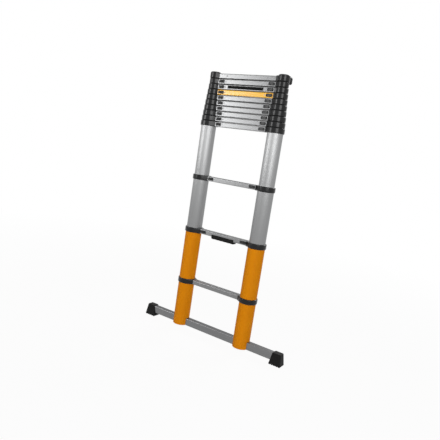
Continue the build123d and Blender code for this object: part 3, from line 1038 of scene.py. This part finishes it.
# bare plate on rung 11
plateSet = {"corner": 1.5 * mm, "cornerSteps": 5, "edge": 0.35 * mm}


def plateMesh(name):
    bm = bmesh.new()
    low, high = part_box("rung_11_plate")
    face = roundedBox(low.x, high.x, low.z, high.z, plateSet["corner"], plateSet["cornerSteps"])
    edges = softEdge(plateSet["edge"])[::-1]
    loftFace(bm, face, [(high.y, 0)] + [(low.y + drop, inset) for inset, drop in edges])
    return meshFrom(bm, name, plateBlack)


plate = linkPiece(plateMesh("rung_11_strip"))
firmNormals(plate)
settlePiece(plate, rungs[ladder["platedRung"] - 1]["body"], "black_gloss", "rung_11_plate")


# wall pads behind the top caps
padSet = {
    "half": 19 * mm, "corner": 8 * mm, "frontEdge": 1.5 * mm, "backEdge": 5 * mm,
    "ribs": 4, "ribPitch": 6.4 * mm, "ribWidth": 4 * mm, "ribRise": 0.9 * mm, "ribInset": 3 * mm,
}
padLow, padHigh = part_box("wall_pads")


def wallPadMesh(name):
    bm = bmesh.new()
    half, front, back = padSet["half"], padLow.y, padHigh.y - padSet["ribRise"]
    levels = [(front, padSet["frontEdge"]), (front + padSet["frontEdge"], 0)]
    levels += [(back - drop, inset) for inset, drop in quarterRound(padSet["backEdge"])]
    for x in (-stileX, stileX):
        loftFace(bm, roundedBox(x - half, x + half, padLow.z, padHigh.z, padSet["corner"]), levels)
    return meshFrom(bm, name, footRubber)


def padRibSeed():  # a rib on the face of each pad
    bm = bmesh.new()
    rise, wide = padSet["ribRise"], padSet["ribWidth"] / 2
    half = padSet["half"] - padSet["backEdge"] - padSet["ribInset"]
    levels = ((-2 * rise, 0), (-0.5 * rise, 0), (0, 0.5 * rise))
    for x in (-stileX, stileX):
        loftFace(bm, roundedBox(x - half, x + half, -wide, wide, 0.9 * wide, steps=4), levels)
    return seedObject("padRibSeed", bm)


padRib = padRibSeed()
lowestRib = (padLow.z + padHigh.z) / 2 - (padSet["ribs"] - 1) / 2 * padSet["ribPitch"]
start, step = (0, padHigh.y, lowestRib), (0, 0, padSet["ribPitch"])
pads = growRow(wallPadMesh("wall_pads_block"), padRib, padSet["ribs"], start, step, footRubber)
firmNormals(pads)
settlePiece(pads, rungs[-1]["body"], "black_rubber", "wall_pads")
for seed in (rivet, ridge, cleat, padRib):
    bpy.data.objects.remove(seed)
print("grip, plate and wall pads done")


# stage: pale floor, soft studio light, camera where the photographer stood
cameraSet = {
    "place": (1.258278, -2.087673, 1.017643), "turn": (81.62625, -8.481268, 33.162376),
    "lens": 37.425, "sensor": 36.0, "clip": (0.05, 200.0),
}
stageSet = {
    "floorHalf": 40.0, "floorColour": (0.72, 0.72, 0.72, 1), "white": (1, 1, 1, 1), "worldLight": 0.05,
    "floorWhite": 0.95, "whiteFrom": 1.2, "whiteTo": 3.6,  # the floor turns fully white away from the ladder
}
lampSet = {  # name: azimuth from -Y towards +X, distance, low z, high z, width, power
    "keyBox": (44, 7.0, 0.7, 6.2, 3.8, 375.0),
    "leftBox": (-41, 5.0, 0.8, 2.8, 1.7, 80.0),
    "backBox": (172, 6.0, 4.2, 7.2, 5.0, 390.0),
}


def seenRays(tree):  # 1 for the camera, in reflections and through glass, where the surroundings are white
    path = addNode(tree, "ShaderNodeLightPath").outputs
    straight = calc(tree, "MAXIMUM", path["Is Camera Ray"], path["Is Glossy Ray"])
    return calc(tree, "MAXIMUM", straight, path["Is Transmission Ray"])


def stageFloor():
    half = stageSet["floorHalf"]
    mesh = bpy.data.meshes.new("floor")
    corners = [(-half, -half, 0), (half, -half, 0), (half, half, 0), (-half, half, 0)]
    mesh.from_pydata(corners, [], [(0, 1, 2, 3)])
    material = bpy.data.materials.new("paleFloor")
    material.use_nodes = True
    tree = material.node_tree
    tree.nodes.remove(tree.nodes["Principled BSDF"])
    matt = addNode(tree, "ShaderNodeBsdfDiffuse", {"Color": stageSet["floorColour"]})
    white = addNode(tree, "ShaderNodeEmission", {"Color": stageSet["white"], "Strength": 1.0})
    place = addNode(tree, "ShaderNodeTexCoord").outputs["Object"]
    away = addNode(tree, "ShaderNodeVectorMath", {0: place}, operation="LENGTH").outputs["Value"]
    pale = spread(tree, away, stageSet["whiteFrom"], stageSet["whiteTo"], stageSet["floorWhite"])
    share = calc(tree, "MULTIPLY", seenRays(tree), pale)
    both = addNode(tree, "ShaderNodeMixShader", {0: share, 1: matt.outputs[0], 2: white.outputs[0]})
    fillInputs(tree, tree.nodes["Material Output"], {"Surface": both.outputs[0]})
    mesh.materials.append(material)
    linkPiece(mesh)


def stageWorld():
    world = bpy.data.worlds.new("studio")
    scene.world = world
    world.use_nodes = True
    tree = world.node_tree
    strength = spread(tree, seenRays(tree), 0, 1, stageSet["worldLight"])
    fillInputs(tree, tree.nodes["Background"], {"Color": stageSet["white"], "Strength": strength})


def stageLamp(name, azimuth, distance, low, high, width, power):
    lamp = bpy.data.lights.new(name, "AREA")
    lamp.shape, lamp.size, lamp.size_y, lamp.energy = "RECTANGLE", width, high - low, power
    holder = linkPiece(lamp)
    turn = math.radians(azimuth)
    holder.location = (distance * math.sin(turn), -distance * math.cos(turn), (low + high) / 2)
    holder.rotation_euler = (math.pi / 2, 0, turn)
    holder.visible_camera = False


def stageCamera():
    camera = bpy.data.cameras.new("camera")
    camera.lens, camera.sensor_width = cameraSet["lens"], cameraSet["sensor"]
    camera.clip_start, camera.clip_end = cameraSet["clip"]
    holder = linkPiece(camera)
    holder.location = cameraSet["place"]
    holder.rotation_euler = [math.radians(angle) for angle in cameraSet["turn"]]
    scene.camera = holder


stageFloor()
stageWorld()
for name, values in lampSet.items():
    stageLamp(name, *values)
stageCamera()
scene.view_settings.view_transform = "Standard"
print("stage: floor,", len(lampSet), "lamps, camera")
